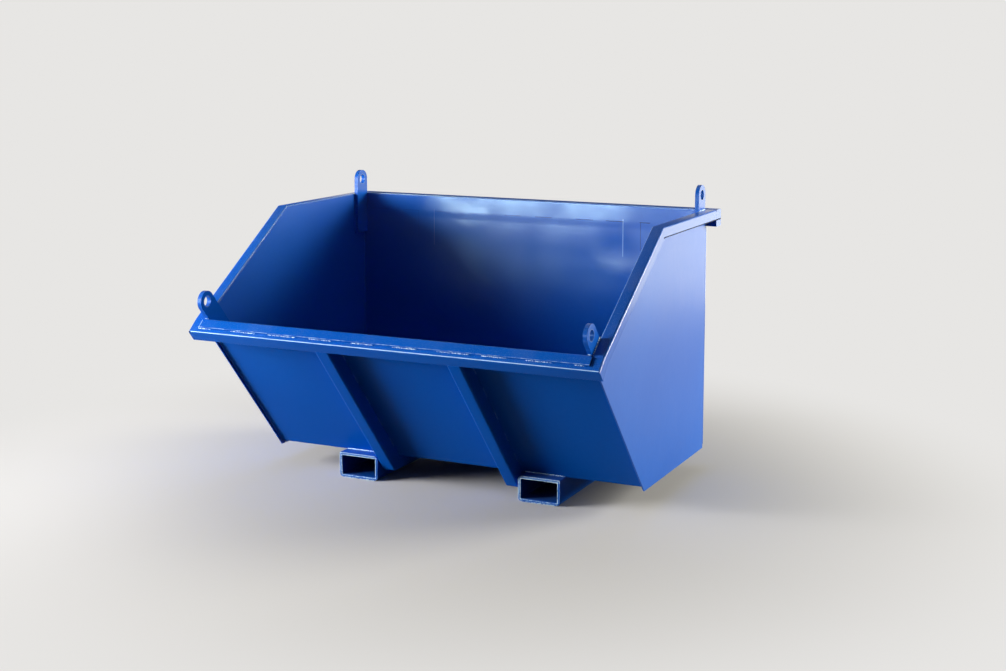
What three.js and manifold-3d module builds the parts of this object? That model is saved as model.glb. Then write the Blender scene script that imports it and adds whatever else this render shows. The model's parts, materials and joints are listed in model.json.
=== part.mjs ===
// Waste hopper container: an open-topped welded steel skip with a raked front wall,
// folded rims round its mouth, two fork pockets under its floor and four crane lugs.
// Millimetres. X runs along the container, Y from the raked front to the upright back, Z up.
// The origin is at the middle of the footprint, level with the undersides of the fork pockets.
import * as THREE from 'three';
import { mergeVertices } from 'three/addons/utils/BufferGeometryUtils.js';
import Module from 'manifold-3d';

// Driving dimensions: the overall form
const overallLength = 1830;
const overallDepth = 1420;
const rimHeight = 1165;
const noseHeight = 710;
const mouthDepth = 745;
const frontWallDegrees = 49;

// Sheet thicknesses, the root gap left between welded pieces, and the overrun of every cut
const shellSheet = 6;
const rimSheet = 5;
const stiffenerSheet = 5;
const capSheet = 5;
const rootGap = 0.3;
const cutOverrun = 20;

// Folded rims: inside fold radius, flange widths and the depth of each down-turned lip
const foldRadius = 4;
const sideRimFlange = 50;
const sideRimLip = 45;
const frontRimReach = 64;
const frontRimLip = 57;
const wallFlange = 50;

// Rear rail, a box section behind the mouth
const railDepth = 64;
const railHeight = 75;
const railWall = 5;
const railRadius = 9;
const wallEdgeRadius = 5;

// Side plates: how far they stand proud of the front wall and hang below the floor
const plateLead = 12;
const plateSkirt = 18;

// Front ribs and the floor bearers that carry on from them
const ribWidth = 64;
const ribCentre = 296;
const bearerDepth = 60;

// Rear stiffeners
const stiffenerWidth = 85;
const stiffenerDepth = 60;
const stiffenerCentre = 522;

// Fork pockets
const pocketWidth = 190;
const pocketHeight = 110;
const pocketWall = 12;
const pocketRadius = 18;
const pocketSeamRadius = 3;
const pocketLead = 64;
const pocketRibGap = 8;

// Crane lugs: flat bars with a round head
const lugWidth = 88;
const lugThickness = 18;
const lugLength = 300;
const lugHole = 44;
const rearLugRise = 68;
const frontLugRise = 63;

// Facets of a quarter fold, a lug head and a lug hole
const foldSteps = 4;
const headSteps = 20;

// Places that several pieces share
const halfLength = overallLength / 2;
const rearFace = overallDepth / 2;
const plateInner = halfLength - sideRimFlange;
const plateOuter = plateInner + shellSheet;
const backOuter = rearFace - railDepth - rootGap;
const backInner = backOuter - shellSheet;
const floorUnder = pocketHeight + rootGap;
const floorTop = floorUnder + shellSheet;
const railUnder = rimHeight - railHeight;
const wallInset = frontRimReach + shellSheet;

// The raked front has its own axes: inset runs square to the wall, from the front rim's face
// towards the hopper; rise runs up the wall, from the front rim's top face.
const rake = THREE.MathUtils.degToRad(frontWallDegrees);
const nose = new THREE.Vector2(-rearFace, noseHeight);
const insetAxis = new THREE.Vector2(Math.sin(rake), Math.cos(rake));
const riseAxis = new THREE.Vector2(-Math.cos(rake), Math.sin(rake));

function frontPoint(inset, rise) {
  return nose.clone().addScaledVector(insetAxis, inset).addScaledVector(riseAxis, rise);
}

function frontRiseAt(inset, height) {
  return (height - noseHeight - inset * insetAxis.y) / riseAxis.y;
}

function frontPointAt(inset, height) {
  return frontPoint(inset, frontRiseAt(inset, height));
}

const wallFoot = frontPointAt(frontRimReach, floorUnder);

// The line of the side rims' top face, from the rear rail to the nose
const rimPath = [
  new THREE.Vector2(backOuter, rimHeight),
  new THREE.Vector2(rearFace - mouthDepth, rimHeight),
  frontPoint(wallInset, 0),
  nose.clone(),
];

const xAxis = new THREE.Vector3(1, 0, 0);
const yAxis = new THREE.Vector3(0, 1, 0);
const zAxis = new THREE.Vector3(0, 0, 1);
const insetAxis3 = new THREE.Vector3(0, insetAxis.x, insetAxis.y);
const riseAxis3 = new THREE.Vector3(0, riseAxis.x, riseAxis.y);

const wasm = await Module();
wasm.setup();

// An outline from corners [x, y, radius]: a corner with a radius becomes an arc.
function rounded(corners) {
  const points = [];
  corners.forEach(([x, y, radius = 0], index) => {
    const corner = new THREE.Vector2(x, y);
    if (radius === 0) {
      points.push(corner);
      return;
    }
    const count = corners.length;
    const before = new THREE.Vector2(...corners[(index + count - 1) % count]).sub(corner).normalize();
    const after = new THREE.Vector2(...corners[(index + 1) % count]).sub(corner).normalize();
    const halfAngle = before.angleTo(after) / 2;
    const reach = radius / Math.tan(halfAngle);
    const inward = before.clone().add(after).normalize();
    const centre = corner.clone().addScaledVector(inward, radius / Math.sin(halfAngle));
    const start = corner.clone().addScaledVector(before, reach).sub(centre);
    const end = corner.clone().addScaledVector(after, reach).sub(centre);
    const sweep = Math.atan2(start.cross(end), start.dot(end));
    for (let step = 0; step <= foldSteps; step += 1) {
      points.push(start.clone().rotateAround(new THREE.Vector2(), sweep * step / foldSteps).add(centre));
    }
  });
  return points;
}

// A profile extruded along across x up, from a base point: its own x runs along the first axis
// and its own y along the second.
function extruded(shape, length, base, across, up) {
  const geometry = new THREE.ExtrudeGeometry(shape, {
    depth: length,
    steps: 1,
    bevelEnabled: false,
    curveSegments: headSteps,
  });
  const along = new THREE.Vector3().crossVectors(across, up);
  const place = new THREE.Matrix4().makeBasis(across, up, along).setPosition(base);
  return geometry.applyMatrix4(place);
}

// A plate or section cut to a side outline, in Y and Z, between two X values
function sideSlab(points, fromX, toX) {
  return extruded(new THREE.Shape(points), toX - fromX, new THREE.Vector3(fromX, 0, 0), yAxis, zAxis);
}

// A section in inset and rise, between two X values
function frontSlab(points, fromX, toX) {
  const base = new THREE.Vector3(fromX, nose.x, nose.y);
  return extruded(new THREE.Shape(points), toX - fromX, base, insetAxis3, riseAxis3);
}

function toSolid(geometry) {
  const bare = geometry.clone();
  bare.deleteAttribute('normal');
  bare.deleteAttribute('uv');
  const merged = mergeVertices(bare);
  return new wasm.Manifold(new wasm.Mesh({
    numProp: 3,
    vertProperties: new Float32Array(merged.attributes.position.array),
    triVerts: new Uint32Array(merged.index.array),
  }));
}

function toGeometry(solid) {
  const mesh = solid.getMesh();
  const geometry = new THREE.BufferGeometry();
  geometry.setAttribute('position', new THREE.BufferAttribute(new Float32Array(mesh.vertProperties), 3));
  geometry.setIndex(new THREE.BufferAttribute(new Uint32Array(mesh.triVerts), 1));
  geometry.computeVertexNormals();
  return geometry;
}

function joined(...geometries) {
  return toGeometry(geometries.map(toSolid).reduce((whole, piece) => whole.add(piece)));
}

function cut(geometry, ...cutters) {
  return toGeometry(cutters.map(toSolid).reduce((whole, cutter) => whole.subtract(cutter), toSolid(geometry)));
}

// Flat side plate: its top edge lies under the rim, its front edge stands proud of the wall
function sidePlate(side) {
  const underRim = rimSheet + rootGap;
  const rearEdge = backInner - rootGap;
  const leadInset = frontRimReach - plateLead;
  const plateFoot = floorUnder - plateSkirt;
  const points = [
    new THREE.Vector2(rearEdge, rimHeight - underRim),
    ...offsetPath(rimPath, underRim).slice(1, -1),
    frontPoint(leadInset, -underRim),
    frontPointAt(leadInset, plateFoot),
    new THREE.Vector2(rearEdge, plateFoot),
  ];
  const fromX = side > 0 ? plateInner : -plateOuter;
  return sideSlab(points, fromX, fromX + shellSheet);
}

// Unit normals of a path's stretches, on the upper side of a path that runs forward
function stretchNormals(path) {
  return path.slice(1).map((point, index) => {
    const along = point.clone().sub(path[index]).normalize();
    return new THREE.Vector2(along.y, -along.x);
  });
}

// At each point of a path, the step that moves the whole path down by one unit, mitred at its bends
function mitreSteps(path) {
  const normals = stretchNormals(path);
  return path.map((point, index) => {
    const before = normals[Math.max(index - 1, 0)];
    const after = normals[Math.min(index, normals.length - 1)];
    return before.clone().add(after).divideScalar(1 + before.dot(after)).negate();
  });
}

function offsetPath(path, depth) {
  const steps = mitreSteps(path);
  return path.map((point, index) => point.clone().addScaledVector(steps[index], depth));
}

// A folded section swept along the rim's path with a mitre at each bend. The section's x is its
// distance out from the side plate's inner face, and its y the depth below the path.
function mitredSection(section, path, side) {
  const steps = mitreSteps(path);
  const positions = [];
  path.forEach((point, index) => {
    section.forEach((corner) => {
      const at = point.clone().addScaledVector(steps[index], corner.y);
      positions.push(side * (plateInner + corner.x), at.x, at.y);
    });
  });
  const triangles = [];
  const addTriangle = (a, b, c) => triangles.push(...(side > 0 ? [a, b, c] : [a, c, b]));
  const count = section.length;
  for (let station = 0; station < path.length - 1; station += 1) {
    for (let corner = 0; corner < count; corner += 1) {
      const near = station * count + corner;
      const nearNext = station * count + (corner + 1) % count;
      addTriangle(near, near + count, nearNext + count);
      addTriangle(near, nearNext + count, nearNext);
    }
  }
  const farEnd = (path.length - 1) * count;
  THREE.ShapeUtils.triangulateShape(section, []).forEach(([a, b, c]) => {
    addTriangle(a, b, c);
    addTriangle(farEnd + a, farEnd + c, farEnd + b);
  });
  const geometry = new THREE.BufferGeometry();
  geometry.setAttribute('position', new THREE.Float32BufferAttribute(positions, 3));
  geometry.setIndex(triangles);
  return geometry;
}

// Side rim: a folded angle over the side plate's edge. Its flange stops at the front rim, and its
// lip runs on to the nose, where it deepens to cover the front rim's end.
function sideRim(side) {
  const outerFold = foldRadius + rimSheet;
  const section = rounded([
    [0, 0, foldRadius],
    [sideRimFlange, 0, outerFold],
    [sideRimFlange, sideRimLip],
    [sideRimFlange - rimSheet, sideRimLip],
    [sideRimFlange - rimSheet, rimSheet, foldRadius],
    [0, rimSheet],
  ]);
  const angle = mitredSection(section, rimPath, side);
  const lipInner = halfLength - rimSheet;
  const stubEnd = frontFlangeEnd() + rootGap;
  const notch = [
    new THREE.Vector2(-cutOverrun, -sideRimLip - cutOverrun),
    new THREE.Vector2(stubEnd, -sideRimLip - cutOverrun),
    new THREE.Vector2(stubEnd, cutOverrun),
    new THREE.Vector2(-cutOverrun, cutOverrun),
  ];
  const notchX = side > 0 ? plateInner - cutOverrun : -lipInner;
  const notched = cut(angle, frontSlab(notch, notchX, notchX + sideRimFlange - rimSheet + cutOverrun));
  const endCover = [
    new THREE.Vector2(0, -frontRimLip),
    new THREE.Vector2(wallInset, -sideRimLip),
    new THREE.Vector2(wallInset, -outerFold),
    new THREE.Vector2(0, -outerFold),
  ];
  const coverX = side > 0 ? lipInner : -halfLength;
  return joined(notched, frontSlab(endCover, coverX, coverX + rimSheet));
}

// Where the front rim's flange stops, clear of the fold at the top of the front wall
function frontFlangeEnd() {
  return frontRimReach - foldRadius - rootGap;
}

// Front rim: a folded angle along the nose, between the lips of the side rims
function frontRim() {
  const points = rounded([
    [0, -frontRimLip],
    [rimSheet, -frontRimLip],
    [rimSheet, -rimSheet, foldRadius],
    [frontFlangeEnd(), -rimSheet],
    [frontFlangeEnd(), 0],
    [0, 0, foldRadius + rimSheet],
  ]);
  const end = halfLength - rimSheet - rootGap;
  return frontSlab(points, -end, end);
}

// Front wall: a raked sheet whose top is folded out over the front rim
function frontWall() {
  const top = rootGap + shellSheet;
  const foldOuter = foldRadius + shellSheet;
  const outline = rounded([
    [wallInset - wallFlange, rootGap],
    [frontRimReach, rootGap, foldRadius],
    [frontRimReach, frontRiseAt(frontRimReach, floorUnder)],
    [wallInset, frontRiseAt(wallInset, floorUnder)],
    [wallInset, top, foldOuter],
    [wallInset - wallFlange, top],
  ]);
  const flange = rounded([
    [wallInset - wallFlange, rootGap],
    [wallInset - foldOuter, rootGap],
    [wallInset - foldOuter, top],
    [wallInset - wallFlange, top],
  ]);
  const wallEnd = plateInner - rootGap;
  return joined(frontSlab(outline, -wallEnd, wallEnd), frontSlab(flange, -plateOuter, plateOuter));
}

// Floor plate: between the side plates, its front edge cut to the rake of the wall
function floorPlate() {
  const frontInset = wallInset + rootGap;
  const points = [
    frontPointAt(frontInset, floorUnder),
    new THREE.Vector2(backInner - rootGap, floorUnder),
    new THREE.Vector2(backInner - rootGap, floorTop),
    frontPointAt(frontInset, floorTop),
  ];
  const end = plateInner - rootGap;
  return sideSlab(points, -end, end);
}

// Back wall: an upright sheet in front of the rear rail, its top edge rounded over. It laps the
// side plates' rear edges, and its top corners are notched for the side rims.
function backWall() {
  const sheet = rounded([
    [backInner, floorUnder],
    [backOuter, floorUnder],
    [backOuter, rimHeight],
    [backInner, rimHeight, wallEdgeRadius],
  ]);
  const lap = rounded([
    [backInner, floorUnder],
    [backOuter, floorUnder],
    [backOuter, rimHeight - rimSheet - rootGap],
    [backInner, rimHeight - rimSheet - rootGap],
  ]);
  const sheetEnd = plateInner - rootGap;
  return joined(sideSlab(sheet, -sheetEnd, sheetEnd), sideSlab(lap, -plateOuter, plateOuter));
}

function railOutline() {
  const railFront = backOuter + rootGap;
  return rounded([
    [railFront, railUnder, railRadius],
    [rearFace, railUnder, railRadius],
    [rearFace, rimHeight, railRadius],
    [railFront, rimHeight, railRadius],
  ]);
}

// Rear rail: a box section along the back wall's outer face, level with its top edge
function rearRail() {
  const shape = new THREE.Shape(railOutline());
  const boreFront = backOuter + rootGap + railWall;
  const boreRadius = railRadius - railWall;
  shape.holes.push(new THREE.Path(rounded([
    [boreFront, railUnder + railWall, boreRadius],
    [boreFront, rimHeight - railWall, boreRadius],
    [rearFace - railWall, rimHeight - railWall, boreRadius],
    [rearFace - railWall, railUnder + railWall, boreRadius],
  ])));
  const end = halfLength - capSheet - rootGap;
  return extruded(shape, 2 * end, new THREE.Vector3(-end, 0, 0), yAxis, zAxis);
}

function railCap(side) {
  const fromX = side > 0 ? halfLength - capSheet : -halfLength;
  return sideSlab(railOutline(), fromX, fromX + capSheet);
}

// A folded channel's outline: its web lies along the first axis, and its flanges run up the second
function channelOutline(width, depth, sheet) {
  const half = width / 2;
  return rounded([
    [-half, 0, foldRadius + sheet],
    [half, 0, foldRadius + sheet],
    [half, depth],
    [half - sheet, depth],
    [half - sheet, sheet, foldRadius],
    [sheet - half, sheet, foldRadius],
    [sheet - half, depth],
    [-half, depth],
  ]);
}

// Front rib: a channel down the front wall, its web flush with the front rim's face. Its flanges
// run up inside the rim, and its foot is cut level with the bearers' undersides.
function frontRib(side) {
  const outline = channelOutline(ribWidth, frontRimReach - rootGap, stiffenerSheet);
  const footHeight = floorUnder - bearerDepth;
  const lowest = frontRiseAt(frontRimReach, footHeight) - cutOverrun;
  const highest = -rimSheet - rootGap;
  const centreX = side * ribCentre;
  const start = frontPoint(0, lowest);
  const base = new THREE.Vector3(centreX, start.x, start.y);
  const channel = extruded(new THREE.Shape(outline), highest - lowest, base, xAxis, insetAxis3);
  const ground = [
    new THREE.Vector2(-rearFace, footHeight),
    new THREE.Vector2(-rearFace, -cutOverrun - footHeight),
    new THREE.Vector2(rearFace, -cutOverrun - footHeight),
    new THREE.Vector2(rearFace, footHeight),
  ];
  const rimSpace = [
    new THREE.Vector2(-cutOverrun, -frontRimLip - rootGap),
    new THREE.Vector2(rimSheet + foldRadius + rootGap, -frontRimLip - rootGap),
    new THREE.Vector2(rimSheet + foldRadius + rootGap, cutOverrun),
    new THREE.Vector2(-cutOverrun, cutOverrun),
  ];
  const fromX = centreX - ribWidth / 2 - cutOverrun;
  const toX = centreX + ribWidth / 2 + cutOverrun;
  return cut(channel, sideSlab(ground, fromX, toX), frontSlab(rimSpace, fromX, toX));
}

// Floor bearer: a channel under the floor, from the rib's foot to the back wall
function floorBearer(side) {
  const outline = channelOutline(ribWidth, bearerDepth - rootGap, stiffenerSheet);
  const underside = floorUnder - bearerDepth;
  const centreX = side * ribCentre;
  const front = wallFoot.x - bearerDepth;
  const base = new THREE.Vector3(centreX, backOuter, underside);
  const channel = extruded(new THREE.Shape(outline), backOuter - front, base, xAxis, zAxis);
  const ribSide = frontRimReach + rootGap;
  const below = frontRiseAt(ribSide, underside) - bearerDepth;
  const above = frontRiseAt(ribSide, floorUnder) + bearerDepth;
  const inFront = [
    new THREE.Vector2(ribSide - overallDepth, below),
    new THREE.Vector2(ribSide, below),
    new THREE.Vector2(ribSide, above),
    new THREE.Vector2(ribSide - overallDepth, above),
  ];
  const fromX = centreX - ribWidth / 2 - cutOverrun;
  return cut(channel, frontSlab(inFront, fromX, fromX + ribWidth + 2 * cutOverrun));
}

// Rear stiffener: a channel on the back wall, between the fork pockets and the rear rail
function rearStiffener(side) {
  const outline = channelOutline(stiffenerWidth, stiffenerDepth, stiffenerSheet);
  const foot = floorUnder;
  const base = new THREE.Vector3(side * stiffenerCentre, backOuter + rootGap + stiffenerDepth, foot);
  const inward = yAxis.clone().negate();
  const across = xAxis.clone().negate();
  return extruded(new THREE.Shape(outline), railUnder - rootGap - foot, base, across, inward);
}

// Fork pocket: a heavy box section that runs out past the front wall and ends under the rear rail.
// Three of its corners are folded, and the fourth, at its outer top edge, is a sharp welded seam.
function forkPocket(side) {
  const halfWidth = pocketWidth / 2;
  const innerHalf = halfWidth - pocketWall;
  const boreRadius = Math.max(pocketRadius - pocketWall, pocketWall / 2);
  const shape = new THREE.Shape(rounded([
    [0, -halfWidth, pocketRadius],
    [pocketHeight, -halfWidth, side < 0 ? pocketSeamRadius : pocketRadius],
    [pocketHeight, halfWidth, side > 0 ? pocketSeamRadius : pocketRadius],
    [0, halfWidth, pocketRadius],
  ]));
  shape.holes.push(new THREE.Path(rounded([
    [pocketWall, -innerHalf, boreRadius],
    [pocketWall, innerHalf, boreRadius],
    [pocketHeight - pocketWall, innerHalf, boreRadius],
    [pocketHeight - pocketWall, -innerHalf, boreRadius],
  ])));
  const centre = ribCentre + ribWidth / 2 + pocketRibGap + halfWidth;
  const front = wallFoot.x - pocketLead;
  return extruded(shape, rearFace - front, new THREE.Vector3(side * centre, front, 0), zAxis, xAxis);
}

// Crane lug outline round its hole, with its length running down
function lugShape() {
  const half = lugWidth / 2;
  const shape = new THREE.Shape();
  shape.moveTo(-half, half - lugLength);
  shape.lineTo(half, half - lugLength);
  shape.lineTo(half, 0);
  shape.absarc(0, 0, half, 0, Math.PI, false);
  const hole = new THREE.Path();
  hole.absarc(0, 0, lugHole / 2, 0, 2 * Math.PI, true);
  shape.holes.push(hole);
  return shape;
}

function lugSideX(side) {
  return side > 0 ? plateInner - rootGap - lugThickness : -plateInner + rootGap;
}

// Rear lug: upright in the corner of a side plate and the back wall
function rearLug(side) {
  const holeY = backInner - rootGap - lugWidth / 2;
  const base = new THREE.Vector3(lugSideX(side), holeY, rimHeight + rearLugRise);
  return extruded(lugShape(), lugThickness, base, yAxis, zAxis);
}

// Front lug: laid along the front wall's rake, in the corner of a side plate and that wall
function frontLug(side) {
  const hole = frontPoint(wallInset + rootGap + lugWidth / 2, frontLugRise);
  const base = new THREE.Vector3(lugSideX(side), hole.x, hole.y);
  return extruded(lugShape(), lugThickness, base, insetAxis3, riseAxis3);
}

const shellColour = 0x1c4fa6;
const frameColour = 0x2159b8;

function addPiece(group, name, geometry, color) {
  const material = new THREE.MeshStandardMaterial({ color, roughness: 0.3, metalness: 0.1 });
  const mesh = new THREE.Mesh(geometry, material);
  mesh.name = name;
  group.add(mesh);
}

const container = new THREE.Group();
const bothSides = [['left', -1], ['right', 1]];

addPiece(container, 'floor_plate', floorPlate(), shellColour);
addPiece(container, 'front_wall', frontWall(), shellColour);
addPiece(container, 'back_wall', backWall(), shellColour);
addPiece(container, 'front_rim', frontRim(), frameColour);
addPiece(container, 'rear_rail', rearRail(), frameColour);
bothSides.forEach(([word, side]) => {
  addPiece(container, `side_plate_${word}`, sidePlate(side), shellColour);
  addPiece(container, `side_rim_${word}`, sideRim(side), frameColour);
  addPiece(container, `rear_rail_cap_${word}`, railCap(side), frameColour);
  addPiece(container, `front_rib_${word}`, frontRib(side), frameColour);
  addPiece(container, `floor_bearer_${word}`, floorBearer(side), frameColour);
  addPiece(container, `rear_stiffener_${word}`, rearStiffener(side), frameColour);
  addPiece(container, `fork_pocket_${word}`, forkPocket(side), frameColour);
  addPiece(container, `rear_lug_${word}`, rearLug(side), frameColour);
  addPiece(container, `front_lug_${word}`, frontLug(side), frameColour);
});

export default container;
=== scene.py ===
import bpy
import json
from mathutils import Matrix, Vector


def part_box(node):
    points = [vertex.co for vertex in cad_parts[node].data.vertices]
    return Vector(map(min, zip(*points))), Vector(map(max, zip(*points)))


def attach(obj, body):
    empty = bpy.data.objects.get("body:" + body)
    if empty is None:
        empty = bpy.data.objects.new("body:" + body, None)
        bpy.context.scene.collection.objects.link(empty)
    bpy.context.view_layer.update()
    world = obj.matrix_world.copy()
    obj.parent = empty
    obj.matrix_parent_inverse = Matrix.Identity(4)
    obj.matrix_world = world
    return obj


bl_info = {
    "name": "Waste Hopper Finish",
    "version": (1, 0, 0),
    "blender": (4, 5, 0),
    "location": "View3D > Sidebar > Hopper",
    "description": "Dresses a welded steel waste hopper with enamel, weld beads and a plain studio",
    "category": "Object",
}

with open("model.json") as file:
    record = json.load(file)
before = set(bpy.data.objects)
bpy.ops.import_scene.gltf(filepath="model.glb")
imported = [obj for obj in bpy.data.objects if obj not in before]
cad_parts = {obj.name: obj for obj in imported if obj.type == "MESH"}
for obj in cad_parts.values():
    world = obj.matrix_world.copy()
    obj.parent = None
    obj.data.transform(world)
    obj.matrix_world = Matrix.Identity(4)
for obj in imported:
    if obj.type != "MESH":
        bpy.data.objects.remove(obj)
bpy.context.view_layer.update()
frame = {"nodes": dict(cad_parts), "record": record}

import json
import math
import random

import bmesh
import bpy
from mathutils import Matrix, Vector

# The raked front, in the part's own frame. Inset runs into the hopper square to the raked wall,
# and rise runs up along it. Both start at the nose of the front rim.
RAKE = math.radians(49.0)
NOSE_HEIGHT = 0.710
NOSE = Vector((0.0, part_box("front_rim")[0].y, NOSE_HEIGHT))
INSET = Vector((0.0, math.sin(RAKE), math.cos(RAKE)))
RISE = Vector((0.0, -math.cos(RAKE), math.sin(RAKE)))

PLATE_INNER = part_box("side_plate_right")[0].x
PLATE_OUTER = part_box("side_plate_right")[1].x
RIM_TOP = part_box("side_rim_right")[1].z
BACK_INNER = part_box("back_wall")[0].y
BACK_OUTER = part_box("rear_stiffener_right")[0].y
FLOOR_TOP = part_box("floor_plate")[1].z
FLOOR_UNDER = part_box("floor_plate")[0].z
RAIL_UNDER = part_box("rear_rail")[0].z
POCKET_WALL = 0.012

# Places on the raked front: the wall's two faces, its folded flange and the front lugs
WALL_OUTER_INSET = 0.064
WALL_INNER_INSET = 0.070
WALL_FOOT_RISE = -0.850
FLANGE_EDGE_INSET = 0.020
FLANGE_TOP_RISE = 0.0063
LUG_NEAR_INSET = 0.0703
LUG_FAR_INSET = 0.1583
LUG_FOOT_RISE = -0.193

# A lug's head and the hole in it, as radii
LUG_HEAD = 0.044
EYE_RADIUS = 0.022

# Where the side rims turn from sloping to level, and the foot of their lip
BEND_Y = -0.035
LIP_DEPTH = 0.045
RIM_LIP_FOOT = RIM_TOP - LIP_DEPTH

# How far a bead's middle stands off the sheet that it lies on and off the edge beside it, and
# how far a bead stops short of the end of its joint
FACE_LIFT = 0.0015
BEAD_LIFT = 0.0012
BEAD_STOP = 0.004


def front_point(x, inset, rise):
    """A point given by its place along the hopper, its inset and its rise."""
    return Vector((x, 0.0, 0.0)) + NOSE + INSET * inset + RISE * rise


def deselect_all():
    if bpy.context.object and bpy.context.object.mode != "OBJECT":
        bpy.ops.object.mode_set(mode="OBJECT")
    bpy.ops.object.select_all(action="DESELECT")


def pick(*objects):
    """Selects these objects alone and makes the first one active."""
    deselect_all()
    for item in objects:
        item.select_set(True)
    bpy.context.view_layer.objects.active = objects[0]


def select_vertices(mesh_edit, test):
    """Selects the vertices that pass the test, in edit mode."""
    bpy.ops.mesh.select_mode(type="VERT")
    bpy.ops.mesh.select_all(action="DESELECT")
    for vertex in mesh_edit.verts:
        if test(vertex.co):
            vertex.select_set(True)
    mesh_edit.select_flush_mode()


# Shader maths


class Signal:
    """A shader socket that can be used in a Python expression."""

    def __init__(self, finish, socket):
        self.finish = finish
        self.socket = socket

    def maths(self, operation, *terms, clamp=False):
        settings = {"operation": operation, "use_clamp": clamp}
        node = self.finish.add("ShaderNodeMath", settings, dict(enumerate(terms)))
        return Signal(self.finish, node.outputs[0])

    def __add__(self, other):
        return self.maths("ADD", self, other)

    def __radd__(self, other):
        return self.maths("ADD", other, self)

    def __sub__(self, other):
        return self.maths("SUBTRACT", self, other)

    def __rsub__(self, other):
        return self.maths("SUBTRACT", other, self)

    def __mul__(self, other):
        return self.maths("MULTIPLY", self, other)

    def __rmul__(self, other):
        return self.maths("MULTIPLY", other, self)

    def __abs__(self):
        return self.maths("ABSOLUTE", self)

    def root(self):
        return self.maths("SQRT", self)

    def larger(self, other):
        return self.maths("MAXIMUM", self, other)

    def clamped(self):
        return self.maths("ADD", self, 0.0, clamp=True)


class Finish:
    """A new material, or a new world, and the few kinds of node that its pattern is made of."""

    def __init__(self, name, library=bpy.data.materials):
        self.material = library.new(name)
        self.material.use_nodes = True
        self.tree = self.material.node_tree
        self.tree.nodes.clear()
        self.column = 0

    def add(self, kind, settings=None, values=None):
        """Adds a node: its type, its settings, then the values or links of its sockets."""
        node = self.tree.nodes.new(kind)
        self.column += 1
        node.location = (self.column * 40.0, -(self.column % 12) * 60.0)
        for name, value in (settings or {}).items():
            if name == "stops":
                self.set_stops(node.color_ramp, value)
            else:
                setattr(node, name, value)
        for name, value in (values or {}).items():
            if isinstance(value, Signal):
                self.tree.links.new(value.socket, node.inputs[name])
            else:
                node.inputs[name].default_value = value
        return node

    def set_stops(self, ramp, stops):
        while len(ramp.elements) > 1:
            ramp.elements.remove(ramp.elements[-1])
        ramp.elements[0].position = stops[0][0]
        ramp.elements[0].color = grey(stops[0][1])
        for position, level in stops[1:]:
            ramp.elements.new(position).color = grey(level)

    def output(self, node, name):
        return Signal(self, node.outputs[name])

    def place(self, scale=(1.0, 1.0, 1.0)):
        """The point on the object, stretched by scale."""
        source = self.add("ShaderNodeTexCoord")
        mapping = {"Vector": self.output(source, "Object"), "Scale": scale}
        return self.output(self.add("ShaderNodeMapping", None, mapping), "Vector")

    def axes(self):
        source = self.add("ShaderNodeTexCoord")
        split = self.add("ShaderNodeSeparateXYZ", None, {0: self.output(source, "Object")})
        return [self.output(split, index) for index in range(3)]

    def facing(self):
        """The three parts of the surface's own direction."""
        source = self.add("ShaderNodeNewGeometry")
        split = self.add("ShaderNodeSeparateXYZ", None, {0: self.output(source, "Normal")})
        return [self.output(split, index) for index in range(3)]

    def noise(self, place, scale, detail, roughness=0.5, distortion=0.0):
        values = {
            "Vector": place,
            "Scale": scale,
            "Detail": detail,
            "Roughness": roughness,
            "Distortion": distortion,
        }
        return self.output(self.add("ShaderNodeTexNoise", None, values), "Fac")

    def seen(self):
        """1 for what the camera, a reflection or a clear piece shows, 0 for light on surfaces."""
        ray = self.add("ShaderNodeLightPath")
        kinds = ("Camera", "Glossy", "Transmission")
        rays = [self.output(ray, "Is %s Ray" % kind) for kind in kinds]
        return rays[0].larger(rays[1]).larger(rays[2])

    def blend(self, factor, first, second):
        values = {0: factor, 1: first, 2: second}
        return self.output(self.add("ShaderNodeMixShader", None, values), "Shader")

    def step(self, value, low, high):
        """Rises smoothly from 0 at low to 1 at high, or falls where low is the larger."""
        settings = {"interpolation_type": "SMOOTHSTEP"}
        values = {"Value": value, "From Min": low, "From Max": high}
        if low > high:
            values = {
                "Value": value,
                "From Min": high,
                "From Max": low,
                "To Min": 1.0,
                "To Max": 0.0,
            }
        return self.output(self.add("ShaderNodeMapRange", settings, values), "Result")

    def ramp(self, value, low, high, stops):
        """A row of levels between two values of a signal."""
        span = {"Value": value, "From Min": low, "From Max": high}
        share = self.output(self.add("ShaderNodeMapRange", None, span), "Result")
        node = self.add("ShaderNodeValToRGB", {"stops": stops}, {"Fac": share})
        return self.output(node, "Color")

    def mix(self, factor, first, second):
        """Goes from the first colour to the second as factor goes from 0 to 1."""
        values = {0: factor, 6: rgba(first), 7: rgba(second)}
        node = self.add("ShaderNodeMix", {"data_type": "RGBA", "clamp_factor": True}, values)
        return Signal(self, node.outputs[2])

    def bump(self, height):
        values = {"Strength": 1.0, "Distance": 1.0, "Height": height}
        return self.output(self.add("ShaderNodeBump", None, values), "Normal")

    def finished(self, fixed, varying):
        """Ends the material in a Principled shader with fixed and varying values."""
        shader = self.add("ShaderNodeBsdfPrincipled", None, {**fixed, **varying})
        surface = {"Surface": self.output(shader, "BSDF")}
        self.add("ShaderNodeOutputMaterial", None, surface)
        return self.material


def grey(level):
    return (level, level, level, 1.0)


def rgba(colour):
    if isinstance(colour, Signal):
        return colour
    return (colour[0], colour[1], colour[2], 1.0)


# Enamel

CLEAR_IOR = 1.5
COAT_ROUGHNESS = 0.20
# The whitest colour of painted highlights and glints
GLINT_WHITE = (0.72, 0.94, 1.0)
# The dark of real pits and dark lines, and of painted shade
PIT_AND_SHADE_DARK = (0.001, 0.004, 0.020)
DUST = (0.42, 0.44, 0.48)


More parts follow.
